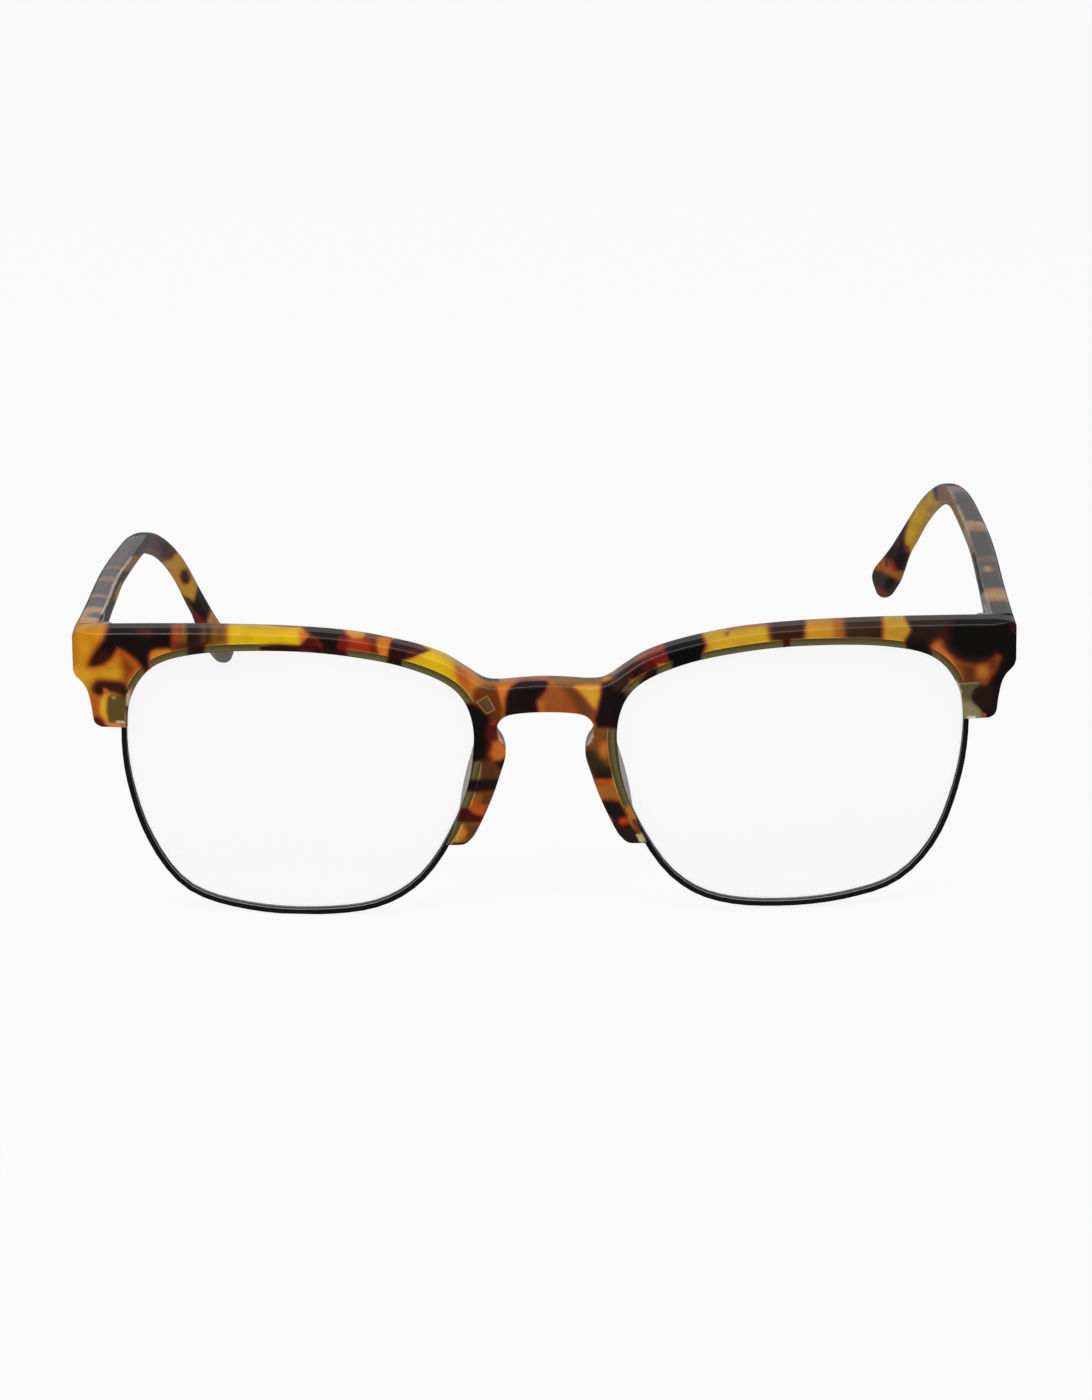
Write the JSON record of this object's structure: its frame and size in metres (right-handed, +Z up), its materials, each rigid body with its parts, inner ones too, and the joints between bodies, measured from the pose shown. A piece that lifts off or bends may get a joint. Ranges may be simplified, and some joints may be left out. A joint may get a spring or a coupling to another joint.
{
  "type": "eyeglass frame",
  "caption": "Browline eyeglass frame: acetate front over full metal rims with clear lenses, and folding acetate temples with curved tips.",
  "frame": {"origin": "middle of the bounding box, at the level of the surface that the frame stands on", "axes": "+X to the right as seen from the front, which is the left of the wearer, +Y from the front back to the temple tips, +Z up"},
  "size_m": [0.14, 0.1428, 0.0437],
  "materials": {
    "acetate": "polished tortoise acetate, amber with dark brown blotches",
    "black_metal": "satin black",
    "hinge_steel": "plain steel",
    "clear_lens": "clear, polished"
  },
  "bodies": {
    "front": {"brow_front": "acetate", "nose_pad_left": "acetate", "nose_pad_right": "acetate", "rim_wire_left": "black_metal", "rim_wire_right": "black_metal", "rim_block_lower_left": "black_metal", "rim_block_lower_right": "black_metal", "rim_block_upper_left": "black_metal", "rim_block_upper_right": "black_metal", "rim_screw_left": "hinge_steel", "rim_screw_right": "hinge_steel", "rim_tab_left": "black_metal", "rim_tab_right": "black_metal", "tab_screw_left": "hinge_steel", "tab_screw_right": "hinge_steel", "lens_left": "clear_lens", "lens_right": "clear_lens", "hinge_front_leaf_left": "hinge_steel", "hinge_front_leaf_right": "hinge_steel"},
    "temple_left": {"temple_left": "acetate", "temple_core_left": "hinge_steel", "hinge_temple_leaf_left": "hinge_steel", "hinge_screw_left": "hinge_steel"},
    "temple_right": {"temple_right": "acetate", "temple_core_right": "hinge_steel", "hinge_temple_leaf_right": "hinge_steel", "hinge_screw_right": "hinge_steel"}
  },
  "joints": [
    {"name": "temple_left_fold", "type": "hinge", "parent": "front", "child": "temple_left", "pos_m": [-0.0651, -0.059, 0.03961], "axis": [0, -0.0241, -0.9997], "range_deg": [0, 84]},
    {"name": "temple_right_fold", "type": "hinge", "parent": "front", "child": "temple_right", "pos_m": [0.065, -0.059, 0.03961], "axis": [0, 0.0241, 0.9997], "range_deg": [0, 80]}
  ]
}
